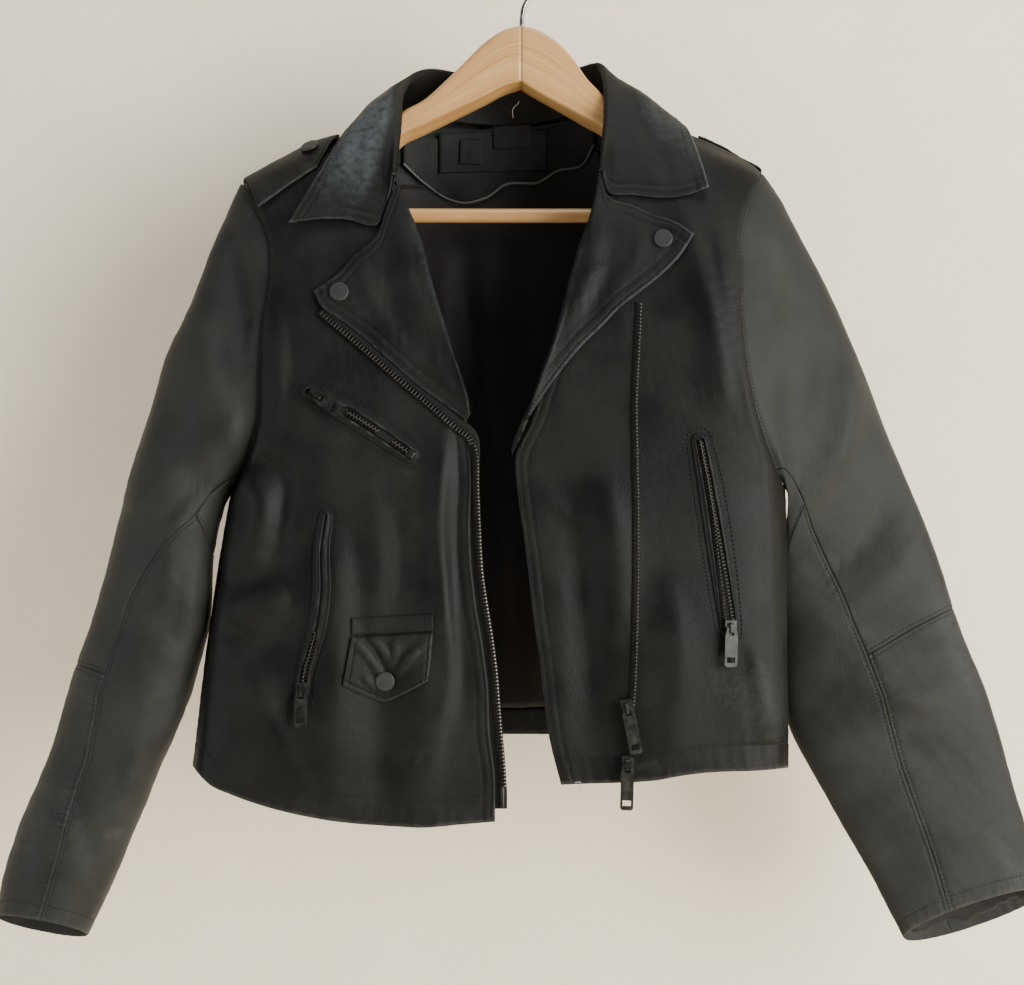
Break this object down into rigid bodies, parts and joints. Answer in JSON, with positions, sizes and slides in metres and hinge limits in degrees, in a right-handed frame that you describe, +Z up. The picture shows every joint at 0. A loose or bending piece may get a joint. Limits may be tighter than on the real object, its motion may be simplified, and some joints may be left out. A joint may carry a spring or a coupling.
{
  "type": "leather biker jacket on a wooden hanger",
  "caption": "Open black leather biker jacket hanging on a wooden hanger, with notched lapels, an off-centre zip, zipped pockets and swinging zip pulls.",
  "frame": {"origin": "inside top of the hanger's hook, where it hangs on a rail", "axes": "+Z up, +X towards the wearer's left sleeve, the open front faces -Y"},
  "size_m": [0.8176, 0.1507, 0.7957],
  "materials": {
    "leather": "worn satin black cowhide",
    "worn_leather": "worn black cowhide with pale rubbed edges",
    "lining": "woven viscose, brown-black",
    "label": "woven, blank",
    "wood": "lacquered pale wood",
    "steel": "bright wire",
    "gunmetal": "gunmetal plating",
    "snap": "matt black enamel"
  },
  "bodies": {
    "garment": {"back": "leather", "back_hem_turn_up": "leather", "back_lining": "lining", "chest_pocket_slider": "gunmetal", "chest_pocket_welt": "leather", "chest_pocket_zip": "gunmetal", "coin_pocket_band": "leather", "coin_pocket_flap": "leather", "coin_pocket_snap": "snap", "collar": "worn_leather", "cuff_lining_left": "lining", "cuff_lining_right": "lining", "epaulette_left": "leather", "epaulette_right": "leather", "epaulette_snap_left": "snap", "epaulette_snap_right": "snap", "facing_piping": "leather", "front_left": "leather", "front_right": "leather", "hand_pocket_left_slider": "gunmetal", "hand_pocket_left_welt": "leather", "hand_pocket_left_zip": "gunmetal", "hand_pocket_right_slider": "gunmetal", "hand_pocket_right_welt": "leather", "hand_pocket_right_zip": "gunmetal", "hanger_arm_left": "wood", "hanger_arm_right": "wood", "hanger_hook": "steel", "lapel_left": "worn_leather", "lapel_right": "worn_leather", "lapel_snap_left": "snap", "lapel_snap_right": "snap", "main_zip_left": "gunmetal", "main_zip_lower_slider": "gunmetal", "main_zip_pin": "gunmetal", "main_zip_right": "gunmetal", "main_zip_upper_slider": "gunmetal", "neck_facing": "leather", "neck_label_main": "label", "neck_label_small": "label", "neck_label_wide": "label", "top_sleeve_forearm_left": "leather", "top_sleeve_forearm_right": "leather", "top_sleeve_upper_left": "leather", "top_sleeve_upper_right": "leather", "trouser_bar": "wood", "under_sleeve_left": "leather", "under_sleeve_right": "leather", "underarm_gusset_left": "leather", "underarm_gusset_right": "leather"},
    "chest_pocket_pull_tab": {"chest_pocket_pull": "gunmetal"},
    "hand_pocket_right_pull_tab": {"hand_pocket_right_pull": "gunmetal"},
    "hand_pocket_left_pull_tab": {"hand_pocket_left_pull": "gunmetal"},
    "main_zip_upper_pull_tab": {"main_zip_upper_pull": "gunmetal"},
    "main_zip_lower_pull_tab": {"main_zip_lower_pull": "gunmetal"}
  },
  "joints": [
    {"name": "chest_pocket_pull_hinge", "type": "hinge", "parent": "garment", "child": "chest_pocket_pull_tab", "pos_m": [-0.1509, -0.09126, -0.36449], "axis": [-0.5589, -0.0394, -0.8283], "range_deg": [0, 150]},
    {"name": "hand_pocket_right_pull_hinge", "type": "hinge", "parent": "garment", "child": "hand_pocket_right_pull_tab", "pos_m": [-0.16091, -0.09735, -0.58056], "axis": [-0.9984, 0.0563, 0], "range_deg": [0, 150]},
    {"name": "hand_pocket_left_pull_hinge", "type": "hinge", "parent": "garment", "child": "hand_pocket_left_pull_tab", "pos_m": [0.15437, -0.08856, -0.5354], "axis": [-0.9877, -0.1512, 0.0395], "range_deg": [0, 150]},
    {"name": "main_zip_upper_pull_hinge", "type": "hinge", "parent": "garment", "child": "main_zip_upper_pull_tab", "pos_m": [0.07777, -0.0899, -0.59406], "axis": [-0.9785, 0.065, -0.1957], "range_deg": [0, 150]},
    {"name": "main_zip_lower_pull_hinge", "type": "hinge", "parent": "garment", "child": "main_zip_lower_pull_tab", "pos_m": [0.07786, -0.09022, -0.6356], "axis": [-0.9966, 0.077, 0.0299], "range_deg": [0, 150]}
  ]
}
